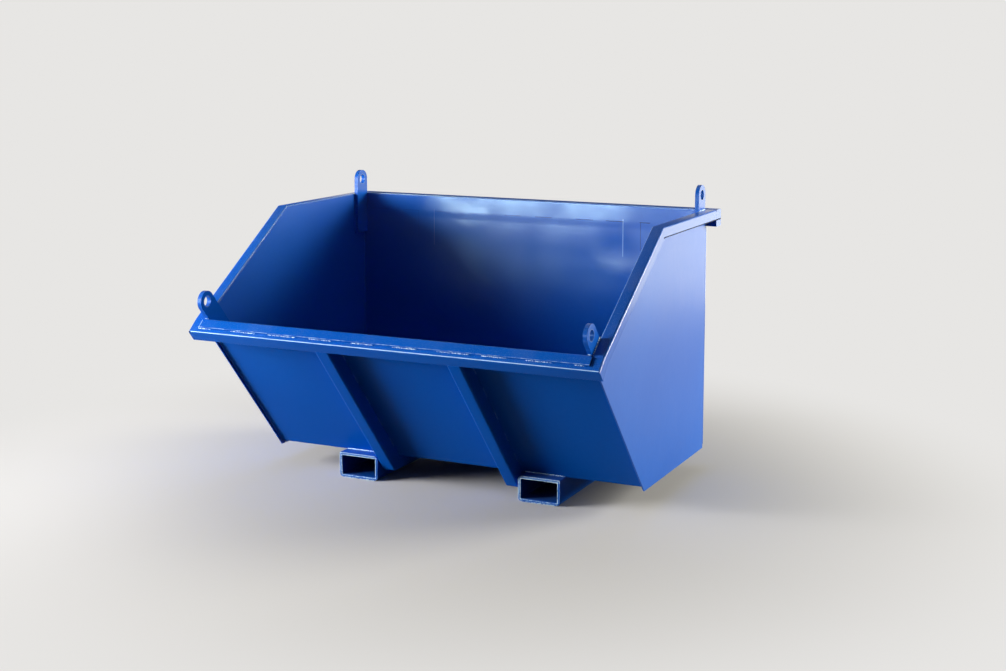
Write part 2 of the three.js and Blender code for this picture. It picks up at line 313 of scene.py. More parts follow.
def enamel(name, paint, marks=None, gloss=0.0, depth=1.0, shine=0.25, rim_gloss=0.0, dim=0.0):
    """Blue gloss enamel. marks(finish, axes) adds a height in metres, then masks that make it
    lighter, duller and darker. gloss is taken off the roughness, depth scales the waves in the
    sheet and shine is the level of the reflections. rim_gloss is the clear gloss on faces that
    look up or sideways, and dim is how far the dark marks lose their reflections."""
    finish = Finish(name)
    place = finish.place()
    axes = finish.axes()
    aside, _, up = finish.facing()
    broad = finish.noise(place, 1.3, 1.0, 0.4)
    clouds = finish.noise(place, 7.0, 3.0, 0.55, 0.4)
    mottle = finish.noise(place, 60.0, 2.0, 0.6)
    peel = finish.noise(place, 330.0, 1.0, 0.5)
    grit = finish.noise(place, 560.0, 1.0, 0.5)
    height = peel * 0.00005 + mottle * 0.00005 + clouds * 0.0005 * depth + broad * 0.004 * depth
    # Painted glints: a fine speckle of highlight colour on the faces that look up
    light = finish.step(grit, 0.60, 0.76) * finish.step(up, 0.3, 0.8) * 0.20
    if marks:
        extra, more_light, dull, dark = marks(finish, axes)
        height = height + extra
        light = (light + more_light).clamped()
    dust = finish.step(up, 0.55, 0.95) * finish.step(clouds, 0.40, 0.75)
    colour = finish.mix(finish.step(broad, 0.30, 0.70), tuple(paint.deep), tuple(paint.colour))
    colour = finish.mix(finish.step(mottle, 0.35, 0.70) * 0.22, colour, tuple(paint.deep))
    # The light masks paint highlights and glints into the colour, whitest where strongest; the dark
    # masks paint shade as well as real pits and dark lines
    colour = finish.mix(light, colour, tuple(paint.light))
    if marks:
        colour = finish.mix(finish.step(light, 0.72, 1.0), colour, GLINT_WHITE)
        colour = finish.mix(dark, colour, PIT_AND_SHADE_DARK)
    colour = finish.mix(dust * paint.dust, colour, DUST)
    roughness = paint.roughness - gloss + clouds * 0.08 + dust * 0.06 + light * 0.06
    coat = paint.coat
    if rim_gloss:
        level = finish.step(up, 0.85, 0.97) * finish.step(axes[1], 0.05, 0.55)
        coat = (level + finish.step(abs(aside), 0.8, 0.95) * 0.7) * rim_gloss + coat
    fixed = {
        "IOR": CLEAR_IOR,
        "Specular IOR Level": shine,
        "Coat Roughness": COAT_ROUGHNESS,
        "Coat IOR": CLEAR_IOR,
    }
    varying = {
        "Base Color": colour,
        "Roughness": roughness,
        "Coat Weight": coat,
        "Normal": finish.bump(height),
    }
    if marks:
        varying["Coat Weight"] = coat * (1.0 - dark)
        varying["Roughness"] = roughness + dull * 0.18
    if dim:
        varying["Metallic"] = dark * dim
    return finish.finished(fixed, varying)


def line_mask(finish, value, middle, half):
    """1 on a thin line where value is near middle, 0 away from it."""
    return finish.step(abs(value - middle), half, half * 0.25)


def run_mask(finish, value, low, high):
    """1 between low and high, 0 a little outside them."""
    fade = 0.008
    return finish.step(value, low - fade, low) * finish.step(value, high + fade, high)


def split_ramp(finish, value, reach, stops):
    """A row of levels from -reach to reach, on two ramps because one holds only 32 stops."""
    half = len(stops) // 2 + 1
    first = finish.ramp(value, -reach, reach, stops[:half])
    second = finish.ramp(value, -reach, reach, stops[:1] + stops[half:])
    return first + second


# Where each stitch weld starts and ends: along X on the rail and the rim, in height on a stiffener
RAIL_STITCHES = (
    (-0.815, -0.735),
    (-0.645, -0.565),
    (-0.474, -0.393),
    (-0.290, -0.212),
    (-0.109, -0.031),
    (0.049, 0.127),
    (0.253, 0.331),
    (0.399, 0.477),
    (0.564, 0.606),
    (0.735, 0.815),
)
RIM_STITCHES = (
    (-0.8731, -0.8116),
    (-0.7146, -0.5946),
    (-0.5333, -0.4034),
    (-0.3404, -0.2345),
    (-0.1446, -0.0455),
    (0.0421, 0.1475),
    (0.2376, 0.3746),
    (0.4266, 0.5356),
    (0.6102, 0.7201),
    (0.8091, 0.8505),
)
STIFFENER_STITCHES = ((0.936, 1.060), (0.705, 0.800), (0.455, 0.550), (0.205, 0.300))
RAIL_REACH = 0.9

# The stiffeners' edges, as lines that show on the inside of the back wall: distance from the
# middle, lowest and highest point
INNER_LINE = (0.480, 0.936, 1.097)
OUTER_LINE = (0.564, 0.968, 1.088)
LINE_HALF = 0.0028

# Where welding drew the back wall in: place along X, height, radius and depth of each dent
WELD_DENTS = (
    (0.440, 0.965, 0.130, 0.0022),
    (0.680, 1.040, 0.300, 0.0060),
    (-0.300, 1.140, 0.130, 0.0013),
    (0.130, 1.085, 0.120, 0.0008),
)


def back_wall_marks(finish, axes):
    """The welds behind the back wall show through it as faint puckered lines and shallow dents.
    The lines along the rail and the stiffeners' outer edges are dark, and a painted highlight lies
    on the inner ones; all fade into the shaded left. A painted highlight lies along its fold at the
    top, strongest at the left."""
    x, _, z = axes
    fade = 0.003
    stops = [(0.0, 0.0)]
    for low, high in RAIL_STITCHES:
        start = (low + RAIL_REACH) / (2.0 * RAIL_REACH)
        end = (high + RAIL_REACH) / (2.0 * RAIL_REACH)
        stops += [(start - fade, 0.0), (start, 1.0), (end, 1.0), (end + fade, 0.0)]
    dashes = split_ramp(finish, x, RAIL_REACH, stops)
    line = dashes * line_mask(finish, z, RAIL_UNDER + 0.001, LINE_HALF)
    upright, outer = [
        line_mask(finish, abs(x), middle, LINE_HALF) * run_mask(finish, z, low, high)
        for middle, low, high in (INNER_LINE, OUTER_LINE)
    ]
    # Painted light: the lines are strongest on the lit right and fade into the shaded left
    right = finish.step(x, -0.40, 0.30) * 0.85 + 0.15
    swell = finish.noise(finish.place((1.0, 1.0, 0.25)), 6.5, 1.0, 0.4)
    belt = finish.step(z, RAIL_UNDER - 0.035, RAIL_UNDER + 0.005)
    height = upright * right * 0.00012 + belt * 0.0008
    for middle, level, size, depth in WELD_DENTS:
        aside = x - middle
        above = z - level
        height = height - finish.step((aside * aside + above * above).root(), size, 0.0) * depth
    height = height + swell * finish.step(z, 0.90, 1.08) * 0.004
    # Painted highlights: along the fold at the top, strongest at the left, and on the inner upright
    # lines
    fold = finish.step(z, RIM_TOP - 0.0030, RIM_TOP - 0.0012)
    light = upright * right * 0.45
    light = light + fold * (0.80 - finish.step(x, -0.50, 0.05) * 0.50)
    return height, light, 0.0, (line * 0.70 + outer * 0.45) * right


def pocket_marks(finish, axes):
    """Flame-cut ends of the pockets are rough, pitted and darker, with painted highlights on the
    arrises round mouth and bore, brightest along the top and the left. Painted shade darkens
    the bore just inside the mouth.
    """
    x, y, z = axes
    lo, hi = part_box("fork_pocket_right")
    end = finish.step(abs(finish.facing()[1]), 0.6, 0.9)
    middle = (lo.x + hi.x) / 2.0
    half = (hi.x - lo.x) / 2.0
    tall = (hi.z - lo.z) / 2.0
    above = abs(z - (lo.z + hi.z) / 2.0)
    reach = (abs(abs(x) - middle) - half).larger(above - tall)
    leftward = (finish.step(x, -0.01, 0.01) * 2.0 - 1.0) * middle - x
    low = finish.step(z, 0.020, 0.008)
    outline = finish.step(abs(reach + 0.0006), 0.0026, 0.0010)
    bore = finish.step(abs(reach + POCKET_WALL - 0.0008), 0.0028, 0.0012)
    cut = finish.noise(finish.place(), 130.0, 3.0, 0.7)
    drag = finish.noise(finish.place((1.0, 1.0, 0.15)), 420.0, 1.0, 0.5)
    height = end * (cut * 0.0026 + drag * 0.0006)
    coarse = finish.step(cut, 0.47, 0.53)
    upper = finish.step(above, tall - POCKET_WALL - 0.001, tall - POCKET_WALL)
    upper = upper * finish.step(z, 0.05, 0.06)
    # Painted highlight, brightest on the top and left sides, which face the light
    highlight_band = upper.larger(finish.step(leftward, 0.082, 0.084))
    outer = highlight_band * 0.80 + low * coarse * 0.6 + 0.15
    inner = 0.95 - low * 0.45
    edges = (bore * inner + outline * outer).clamped()
    edges = edges * (finish.step(cut, 0.38, 0.50) * 0.8 + 0.2)
    light = end * (edges * 1.15 + low * coarse * 0.25 + highlight_band * 0.12).clamped()
    lower = lo.y + 0.004
    # Painted shade inside the bore, near the mouth
    inside = finish.step(reach, 0.002 - POCKET_WALL, -POCKET_WALL)
    inside = inside * finish.step(y, lower, lower + 0.012)
    pits = end * finish.step(cut, 0.40, 0.25) * 0.5
    return height, light, end * 0.4, (pits + inside * 0.55 + end * 0.30).clamped()


def along_front(axes):
    """Inset and rise of a point of the raked front."""
    _, y, z = axes
    inset = (y - NOSE.y) * INSET.y + (z - NOSE.z) * INSET.z
    rise = (y - NOSE.y) * RISE.y + (z - NOSE.z) * RISE.z
    return inset, rise


def front_wall_marks(finish, axes):
    """A painted highlight lies along the sheared edge of the flange that laps the front rim, and
    on its left end, which faces the light. Painted shade darkens its right end."""
    x = axes[0]
    inset, rise = along_front(axes)
    above = finish.step(rise, 0.001, 0.003)
    edge = finish.step(abs(inset - FLANGE_EDGE_INSET), 0.0018, 0.0006) * above
    broken = finish.noise(finish.place(), 22.0, 3.0, 0.7)
    # Painted highlight along the flange's edge, broken up
    bright = edge * (finish.step(broken, 0.40, 0.65) * 0.60 + 0.08)
    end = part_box("front_wall")[1].x
    # Painted highlight on the left end and painted shade on the right end
    side = finish.step(abs(x), end - 0.0035, end - 0.0020) * above
    left = finish.step(x, 0.1, -0.1)
    return 0.0, (bright + side * left * 0.6).clamped(), 0.0, side * (1.0 - left) * 0.8


def stitch_pits(finish, x):
    """1 at the dark pit that ends each stitch of the front rim."""
    width = 2.0 * PLATE_OUTER
    stops = [(0.0, 0.0)]
    for low, high in RIM_STITCHES:
        start = (high + 0.002) / width + 0.5
        for step, level in ((0.0, 0.0), (0.002, 1.0), (0.005, 1.0), (0.008, 0.0)):
            stops.append((start + step / width, level))
    return split_ramp(finish, x, PLATE_OUTER, stops)


def fold_marks(finish, axes):
    """Painted highlights lie along the fold of the nose and on the rims' inner edges. The pits of
    the stitches are dark, painted shadow lies under the level rims' lips, and a painted dark
    reflection lies on top of the rail."""
    x, y, z = axes
    _, ahead, up = finish.facing()
    bend = (RISE - INSET).normalized()
    toward = ahead * bend.y + up * bend.z
    inset, rise = along_front(axes)
    pits = stitch_pits(finish, x) * line_mask(finish, inset, FLANGE_EDGE_INSET - 0.003, 0.004)
    pits = pits * finish.step(abs(rise), 0.004, 0.002)
    # Painted highlight along the fold of the nose
    fold = finish.step(toward, 0.978, 0.994) * finish.step(inset, FLANGE_EDGE_INSET, 0.012)
    # Painted shadow in a line under the level rims' lips
    foot = finish.step(z, RIM_LIP_FOOT + 0.0052, RIM_LIP_FOOT + 0.0034)
    foot = foot * finish.step(z, RIM_LIP_FOOT - 0.003, RIM_LIP_FOOT - 0.001)
    foot = foot * finish.step(y, BEND_Y - 0.002, BEND_Y + 0.004) * finish.step(abs(x), 0.90, 0.91)
    # Painted highlight on the rims' inner edges
    inner_edge_highlight = finish.step(abs(abs(x) - PLATE_INNER - 0.001), 0.0024, 0.0012)
    inner_edge_highlight = inner_edge_highlight * finish.step(inset, WALL_OUTER_INSET, WALL_OUTER_INSET + 0.004)
    inner_edge_highlight = inner_edge_highlight * finish.step(up, 0.4, 0.6)
    inner_edge_highlight = inner_edge_highlight * finish.step(y, BACK_INNER, BACK_INNER - 0.02)
    # A painted dark reflection on top of the rail
    rail_top_shade = finish.step(up, 0.8, 0.95) * finish.step(abs(x), PLATE_INNER, PLATE_INNER - 0.002)
    rail_top_shade = rail_top_shade * finish.step(y, BACK_INNER - 0.002, BACK_INNER)
    dark = (foot * 0.95 + pits * 0.9 + rail_top_shade * 0.35).clamped()
    return 0.0, fold * 0.80 + inner_edge_highlight * 0.35, (foot + rail_top_shade) * 2.0, dark


def plate_marks(finish, axes):
    """The corner weld of the back wall draws the side plate in along a faint upright line."""
    strip = finish.step(axes[1], BACK_INNER - 0.012, BACK_INNER + 0.006)
    return strip * 0.0005, strip * 0.05, 0.0, 0.0


def lug_marks(finish, axes):
    """The edges of the lugs keep the faint ridges of their cutting, with a faint painted highlight,
    and a painted highlight rings the holes. Painted shade darkens the right lugs' holes inside."""
    x, y, z = axes
    edge = finish.step(abs(finish.facing()[0]), 0.6, 0.3)
    ridges = finish.noise(finish.place((0.05, 1.0, 1.0)), 300.0, 1.0, 0.5)
    # Faint painted highlight on the cut edges
    lug_highlight = edge * finish.step(ridges, 0.55, 0.75) * 0.08
    bore_shade = 0.0
    for name in ("front_lug_right", "rear_lug_right"):
        lo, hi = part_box(name)
        aside = y - (lo.y + LUG_HEAD)
        above = z - (hi.z - LUG_HEAD)
        away = (aside * aside + above * above).root()
        # Painted shade inside the hole, and a painted highlight round it
        bore_shade = finish.step(away, EYE_RADIUS + 0.0012, EYE_RADIUS + 0.0002) + bore_shade
        ring = finish.step(abs(away - EYE_RADIUS - 0.0016), 0.0016, 0.0006)
        lug_highlight = lug_highlight + ring * 0.2
    return edge * ridges * 0.0004, lug_highlight, edge * 0.2, bore_shade * finish.step(x, 0.0, 0.1) * 0.35


def bead_marks(finish, axes):
    """Spatter and pits under the paint of a weld bead, with painted glints on its ripples."""
    pits = finish.noise(finish.place(), 230.0, 3.0, 0.7)
    # Painted glints on the bead's ripples
    glint = finish.step(pits, 0.46, 0.54) * 0.90 + 0.08
    return pits * 0.0013, glint, 0.3, finish.step(pits, 0.45, 0.36) * 0.6


def seam_marks(finish, axes):
    """The beads of the long seams are as blue as the sheet, with a few painted glints on ripples.
    """
    pits = finish.noise(finish.place(), 260.0, 3.0, 0.7)
    return pits * 0.0008, finish.step(pits, 0.55, 0.70) * 0.12, 0.3, 0.0


class HopperPaint(bpy.types.PropertyGroup):
    """Colours and gloss of the enamel."""

    colour: bpy.props.FloatVectorProperty(
        name="Paint",
        description="Colour of the enamel",
        subtype="COLOR",
        size=3,
        min=0.0,
        max=1.0,
        default=(0.002, 0.098, 0.48),
    )
    deep: bpy.props.FloatVectorProperty(
        name="Deep paint",
        description="Colour of the enamel where it lies thicker",
        subtype="COLOR",
        size=3,
        min=0.0,
        max=1.0,
        default=(0.001, 0.079, 0.42),
    )
    # The colour of painted highlights and glints on edges, folds, ridges and beads
    light: bpy.props.FloatVectorProperty(
        name="Thin paint",
        description="Colour of the enamel on edges and ridges",
        subtype="COLOR",
        size=3,
        min=0.0,
        max=1.0,
        default=(0.50, 0.77, 1.0),
    )
    roughness: bpy.props.FloatProperty(
        name="Roughness",
        description="How much the enamel scatters its reflections",
        subtype="FACTOR",
        min=0.05,
        max=1.0,
        default=0.32,
    )
    coat: bpy.props.FloatProperty(
        name="Clear gloss",
        description="Strength of the smooth gloss over the enamel",
        subtype="FACTOR",
        min=0.0,
        max=1.0,
        default=0.05,
    )
    dust: bpy.props.FloatProperty(
        name="Dust",
        description="How much dust lies on the faces that look up",
        subtype="FACTOR",
        min=0.0,
        max=1.0,
        default=0.06,
    )
    edge: bpy.props.FloatProperty(
        name="Edge rounding",
        description="Width of the rounding on each edge of the sheet",
        subtype="DISTANCE",
        unit="LENGTH",
        min=0.0001,
        max=0.003,
        default=0.0009,
    )


class HopperWelds(bpy.types.PropertyGroup):
    """Sizes of the weld beads."""

    radius: bpy.props.FloatProperty(
        name="Bead radius",
        description="Radius of a stitch weld's bead",
        subtype="DISTANCE",
        unit="LENGTH",
        min=0.002,
        max=0.008,
        default=0.0037,
    )
    seam_radius: bpy.props.FloatProperty(
        name="Seam radius",
        description="Radius of the long seams' beads",
        subtype="DISTANCE",
        unit="LENGTH",
        min=0.002,
        max=0.008,
        default=0.0040,
    )
    ripple: bpy.props.FloatProperty(
        name="Ripple",
        description="Distance between the ripples of a bead",
        subtype="DISTANCE",
        unit="LENGTH",
        min=0.003,
        max=0.012,
        default=0.0058,
    )
    seed: bpy.props.IntProperty(
        name="Seed",
        description="Number that sets how the beads differ from each other",
        min=0,
        default=7,
    )


class HopperStage(bpy.types.PropertyGroup):
    """Floor and light of the studio."""

    floor: bpy.props.FloatVectorProperty(
        name="Floor",
        description="Colour of the floor",
        subtype="COLOR",
        size=3,
        min=0.0,
        max=1.0,
        default=(0.56, 0.545, 0.53),
    )
    backdrop: bpy.props.FloatVectorProperty(
        name="Backdrop",
        description="Colour of the room behind the floor",
        subtype="COLOR",
        size=3,
        min=0.0,
        max=1.0,
        default=(0.80, 0.79, 0.775),
    )
    fill: bpy.props.FloatProperty(
        name="Fill",
        description="Strength of the light from all round",
        min=0.0,
        max=2.0,
        default=0.055,
    )
    top: bpy.props.FloatProperty(
        name="Top lamp",
        description="Power of the wide lamp overhead",
        subtype="POWER",
        unit="POWER",
        min=0.0,
        default=24.0,
    )
    left: bpy.props.FloatProperty(
        name="Left lamp",
        description="Power of the wide lamp at the front left",
        subtype="POWER",
        unit="POWER",
        min=0.0,
        default=645.0,
    )
    right: bpy.props.FloatProperty(
        name="Right lamp",
        description="Power of the low wide lamp at the right",
        subtype="POWER",
        unit="POWER",
        min=0.0,
        default=1020.0,
    )
    front: bpy.props.FloatProperty(
        name="Front lamp",
        description="Power of the small lamp that the back wall mirrors",
        subtype="POWER",
        unit="POWER",
        min=0.0,
        default=190.0,
    )
    rear: bpy.props.FloatProperty(
        name="Rear lamp",
        description="Power of the lamp that the right side plate mirrors",
        subtype="POWER",
        unit="POWER",
        min=0.0,
        default=72.0,
    )


# Modelling

MERGE_DISTANCE = 0.0001
FLAT_ANGLE = math.radians(0.5)
SHARP_ANGLE = math.radians(40.0)

# A bead: how many sides it has, its width between the ripples, the widths towards its ends,
# each with the rings that it takes in, and the size and depth of its unevenness
BEAD_SIDES = 8
BEAD_WAIST = 0.80
BEAD_TAPER = ((1.5, 0.82), (0.5, 0.62))
WANDER_SIZE = 0.011
WANDER_DEPTH = 0.45

# Beads are copied from masters whose lengths go up in steps, which are wider for long beads
LONG_BEAD = 0.3
SHORT_STEP = 0.02
LONG_STEP = 0.1


def round_edges(node, width):
    """Merges a node's triangles, rounds its edges and evens its shading, all as live modifiers."""
    merge = node.modifiers.new("merge", "WELD")
    merge.merge_threshold = MERGE_DISTANCE
    flat = node.modifiers.new("flat", "DECIMATE")
    flat.decimate_type = "DISSOLVE"
    flat.angle_limit = FLAT_ANGLE
    rounding = node.modifiers.new("rounding", "BEVEL")
    rounding.width = width
    rounding.segments = 2
    rounding.limit_method = "ANGLE"
    rounding.angle_limit = SHARP_ANGLE
    shading = node.modifiers.new("shading", "WEIGHTED_NORMAL")
    shading.keep_sharp = False
    shading.weight = 50


def model_bead(length, radius, ripple):
    """Models one weld bead along X: a rippled bar with tapered ends."""
    deselect_all()
    bpy.ops.mesh.primitive_cylinder_add(
        vertices=BEAD_SIDES,
        radius=radius,
        depth=length,
        end_fill_type="NGON",
        location=(0.0, 0.0, 0.0),
        rotation=(0.0, math.pi / 2.0, 0.0),
    )
    bead = bpy.context.object
    bpy.ops.object.transform_apply(location=True, rotation=True, scale=True)
    bpy.ops.object.mode_set(mode="EDIT")
    shape = bmesh.from_edit_mesh(bead.data)
    bpy.ops.mesh.select_mode(type="EDGE")
    bpy.ops.mesh.select_all(action="DESELECT")
    for edge in shape.edges:
        if abs(edge.verts[0].co.x - edge.verts[1].co.x) > length * 0.5:
            edge.select_set(True)
    rings = max(4, 2 * round(length / ripple))
    bpy.ops.mesh.subdivide(number_cuts=rings - 1)
    pitch = length / rings
    centre = (0.0, 0.0, 0.0)
    shape = bmesh.from_edit_mesh(bead.data)
    select_vertices(shape, lambda co: round((co.x + length / 2.0) / pitch) % 2 == 1)
    bpy.ops.transform.resize(value=(1.0, BEAD_WAIST, BEAD_WAIST), center_override=centre)
    for reach, share in BEAD_TAPER:
        limit = length / 2.0 - pitch * reach
        select_vertices(shape, lambda co: abs(co.x) > limit)
        bpy.ops.transform.resize(value=(1.0, share, share), center_override=centre)
    bpy.ops.mesh.select_all(action="SELECT")
    bpy.ops.object.mode_set(mode="OBJECT")
    return bead


def lay_beads(name, runs, radius, welds, finish, seed):
    """Copies beads to the runs, given by their end points, and joins them into one piece."""
    picker = random.Random(welds.seed * 101 + seed)
    masters = {}
    pieces = []
    for start, end in runs:
        span = end - start
        step = SHORT_STEP if span.length < LONG_BEAD else LONG_STEP
        size = max(1, round(span.length / step)) * step
        if size not in masters:
            masters[size] = model_bead(size, radius, welds.ripple)
        pick(masters[size])
        bpy.ops.object.duplicate(linked=False)
        bead = bpy.context.object
        bead.scale = (span.length / size, 1.0, 1.0)
        turn = span.to_track_quat("X", "Z").to_matrix().to_4x4()
        roll = Matrix.Rotation(picker.uniform(0.0, math.tau), 4, "X")
        bead.rotation_euler = (turn @ roll).to_euler()
        bead.location = (start + end) / 2.0
        pieces.append(bead)
    pick(*masters.values())
    bpy.ops.object.delete()
    pick(*pieces)
    bpy.ops.object.transform_apply(location=True, rotation=True, scale=True)
    if len(pieces) > 1:
        bpy.ops.object.join()
    piece = bpy.context.object
    cloud = bpy.data.textures.new(name + "_wander", "CLOUDS")
    cloud.noise_scale = WANDER_SIZE
    cloud.noise_depth = 1
    wander = piece.modifiers.new("wander", "DISPLACE")
    wander.texture = cloud
    wander.texture_coords = "LOCAL"
    wander.strength = radius * WANDER_DEPTH
    wander.mid_level = 0.5
    bpy.ops.object.modifier_apply(modifier=wander.name)
    bpy.ops.object.shade_smooth()
    piece.name = name
    piece.data.name = name
    piece.data.materials.clear()
    piece.data.materials.append(finish)
    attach(piece, "root")
    return piece


def bead_finish(paint, name="seam_enamel", marks=seam_marks):
    """The enamel of a kind of bead, made once."""
    return bpy.data.materials.get(name) or enamel(name, paint, marks, gloss=-0.02, depth=0.0)


def bright_bead_finish(paint):
    """The enamel of the coarse beads, whose ripples and spatter stand out."""
    return bead_finish(paint, "stitch_enamel", bead_marks)


def both_sides(runs):
    """Each run and its mirror image in the other half of the hopper."""
    mirrored = [tuple(Vector((-p.x, p.y, p.z)) for p in run) for run in runs]
    return list(runs) + mirrored


def stitches_between(start, end, count, share):
    """Evenly spaced short runs on the line from start to end."""
    span = end - start
    runs = []
    for index in range(count):
        middle = (index + 0.5) / count
        half = share / count / 2.0
        runs.append((start + span * (middle - half), start + span * (middle + half)))
    return runs


# Operators

# Radii of the welds that are finer or heavier than the plain ones, as shares
LUG_EDGE_SHARE = 0.65
POCKET_SHARE = 1.5
OUTSIDE_SHARE = 0.9


class HOPPER_OT_paint_shell(bpy.types.Operator):
    """Rounds the edges of the hopper's nodes and paints them"""

    bl_idname = "hopper.paint_shell"
    bl_label = "Paint the shell"

    def execute(self, context):
        paint = context.scene.hopper_paint
        sheet = enamel("shell_enamel", paint)
        back = enamel("back_wall_enamel", paint, back_wall_marks, gloss=0.21, shine=0.90, dim=1.0)
        wall = enamel("front_wall_enamel", paint, front_wall_marks, shine=0.02)
        framing = enamel("frame_enamel", paint, fold_marks, gloss=0.05, depth=0.35, shine=0.05)
        rim = enamel("side_rim_enamel", paint, fold_marks, depth=0.6, shine=0.05, rim_gloss=0.75)
        plate = enamel("side_plate_enamel", paint, plate_marks)
        rib = enamel("rib_enamel", paint, depth=0.35, shine=0.02)
        pocket = enamel("pocket_enamel", paint, pocket_marks, depth=0.2, shine=0.05)
        lug = enamel("lug_enamel", paint, lug_marks, gloss=0.12, depth=0.1, shine=0.16)
        by_slot = {
            "shell_paint": sheet,
            "frame_paint": framing,
            "pocket_paint": pocket,
            "lug_paint": lug,
        }
        by_name = {"back_wall": back, "front_wall": wall}
        for side in ("left", "right"):
            by_name["front_rib_" + side] = rib
            by_name["side_rim_" + side] = rim
            by_name["rear_rail_cap_" + side] = rim
            by_name["side_plate_" + side] = plate
        slots = {row["node"]: row["material_slot"] for row in frame["record"]["subparts"]}
        for name, node in frame["nodes"].items():
            finish = by_name.get(name, by_slot[slots[name]])
            for slot in node.material_slots:
                slot.material = finish
            round_edges(node, paint.edge)
        return {"FINISHED"}


class HOPPER_OT_rim_stitches(bpy.types.Operator):
    """Stitch welds between the front wall's folded edge and the front rim"""

    bl_idname = "hopper.rim_stitches"
    bl_label = "Rim stitches"

    def execute(self, context):
        welds = context.scene.hopper_welds
        finish = bright_bead_finish(context.scene.hopper_paint)
        inset = FLANGE_EDGE_INSET - FACE_LIFT
        rise = 0.0022
        runs = [(front_point(a, inset, rise), front_point(b, inset, rise)) for a, b in RIM_STITCHES]
        lay_beads("rim_stitches", runs, welds.radius, welds, finish, 1)
        return {"FINISHED"}


class HOPPER_OT_lug_welds(bpy.types.Operator):
    """Beads round the feet and down the edges of the four crane lugs"""

    bl_idname = "hopper.lug_welds"
    bl_label = "Lug welds"

    def execute(self, context):
        welds = context.scene.hopper_welds
        paint = context.scene.hopper_paint
        seam = bead_finish(paint)
        bright = bright_bead_finish(paint)
        lo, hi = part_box("rear_lug_right")
        margin = 0.001
        corner = PLATE_INNER - 0.0020
        edge = hi.x + BEAD_LIFT

        below_rim = 0.012
        front = lo.y - 0.0005
        under = lo.z - margin
        over = RIM_TOP + 0.0006
        heights = lo.z + BEAD_STOP, RIM_TOP - below_rim
        runs = [
            tuple(Vector((corner, front, z)) for z in heights),
            (Vector((corner, lo.y + BEAD_STOP, under)), Vector((corner, hi.y - BEAD_STOP, under))),
        ]
        edges = [(Vector((edge, lo.y - 0.002, over)), Vector((edge, hi.y - 0.002, over)))]

        back = LUG_FAR_INSET + 0.0008
        under = LUG_FOOT_RISE - margin
        over = 0.0008
        rises = LUG_FOOT_RISE + BEAD_STOP, -below_rim
        ends = LUG_NEAR_INSET + BEAD_STOP, LUG_FAR_INSET - BEAD_STOP
        runs += [
            tuple(front_point(corner, back, rise) for rise in rises),
            tuple(front_point(corner, inset, under) for inset in ends),
        ]
        ends = LUG_NEAR_INSET - margin, LUG_FAR_INSET + margin
        edges += [tuple(front_point(edge, inset, over) for inset in ends)]
        toe = LUG_NEAR_INSET - FACE_LIFT
        rise = FLANGE_TOP_RISE - margin
        feet = [tuple(front_point(x, toe, rise) for x in (lo.x + margin, hi.x))]

        lay_beads("lug_welds", both_sides(runs), welds.seam_radius, welds, seam, 2)
        radius = welds.seam_radius * LUG_EDGE_SHARE
        lay_beads("lug_edge_welds", both_sides(edges), radius, welds, bright, 9)
        lay_beads("lug_foot_welds", both_sides(feet), welds.radius, welds, bright, 8)
        return {"FINISHED"}


class HOPPER_OT_pocket_welds(bpy.types.Operator):
    """Beads where the fork pockets meet the raked wall and the floor plate"""

    bl_idname = "hopper.pocket_welds"
    bl_label = "Pocket welds"

    def execute(self, context):
        welds = context.scene.hopper_welds
        finish = bright_bead_finish(context.scene.hopper_paint)
        lo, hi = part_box("fork_pocket_right")
        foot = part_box("floor_plate")[0].y
        ends = lo.x + BEAD_STOP, hi.x - BEAD_STOP
        runs = [tuple(Vector((x, foot - 0.003, hi.z + 0.002)) for x in ends)]
        level = hi.z - 0.0055
        for x in (lo.x + 0.003, hi.x - 0.003):
            start = Vector((x, foot + 0.03, level))
            end = Vector((x, hi.y - 0.07, level))
            runs += stitches_between(start, end, 4, 0.5)
        radius = welds.radius * POCKET_SHARE
        lay_beads("pocket_welds", both_sides(runs), radius, welds, finish, 3)
        return {"FINISHED"}


class HOPPER_OT_rib_welds(bpy.types.Operator):
    """Stitch welds along the front ribs and the floor bearers"""

    bl_idname = "hopper.rib_welds"
    bl_label = "Rib welds"

    def execute(self, context):
        welds = context.scene.hopper_welds
        finish = bead_finish(context.scene.hopper_paint)
        lo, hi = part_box("front_rib_right")
        runs = []
        inset = WALL_OUTER_INSET - FACE_LIFT
        for x in (lo.x - BEAD_LIFT, hi.x + BEAD_LIFT):
            start = front_point(x, inset, -0.075)
            end = front_point(x, inset, WALL_FOOT_RISE + 0.03)
            runs += stitches_between(start, end, 5, 0.42)
        lo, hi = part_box("floor_bearer_right")
        level = FLOOR_UNDER - 0.002
        for x in (lo.x - BEAD_LIFT, hi.x + BEAD_LIFT):
            start = Vector((x, lo.y + 0.06, level))
            end = Vector((x, hi.y - 0.03, level))
            runs += stitches_between(start, end, 4, 0.42)
        lay_beads("rib_welds", both_sides(runs), welds.seam_radius, welds, finish, 4)
        return {"FINISHED"}


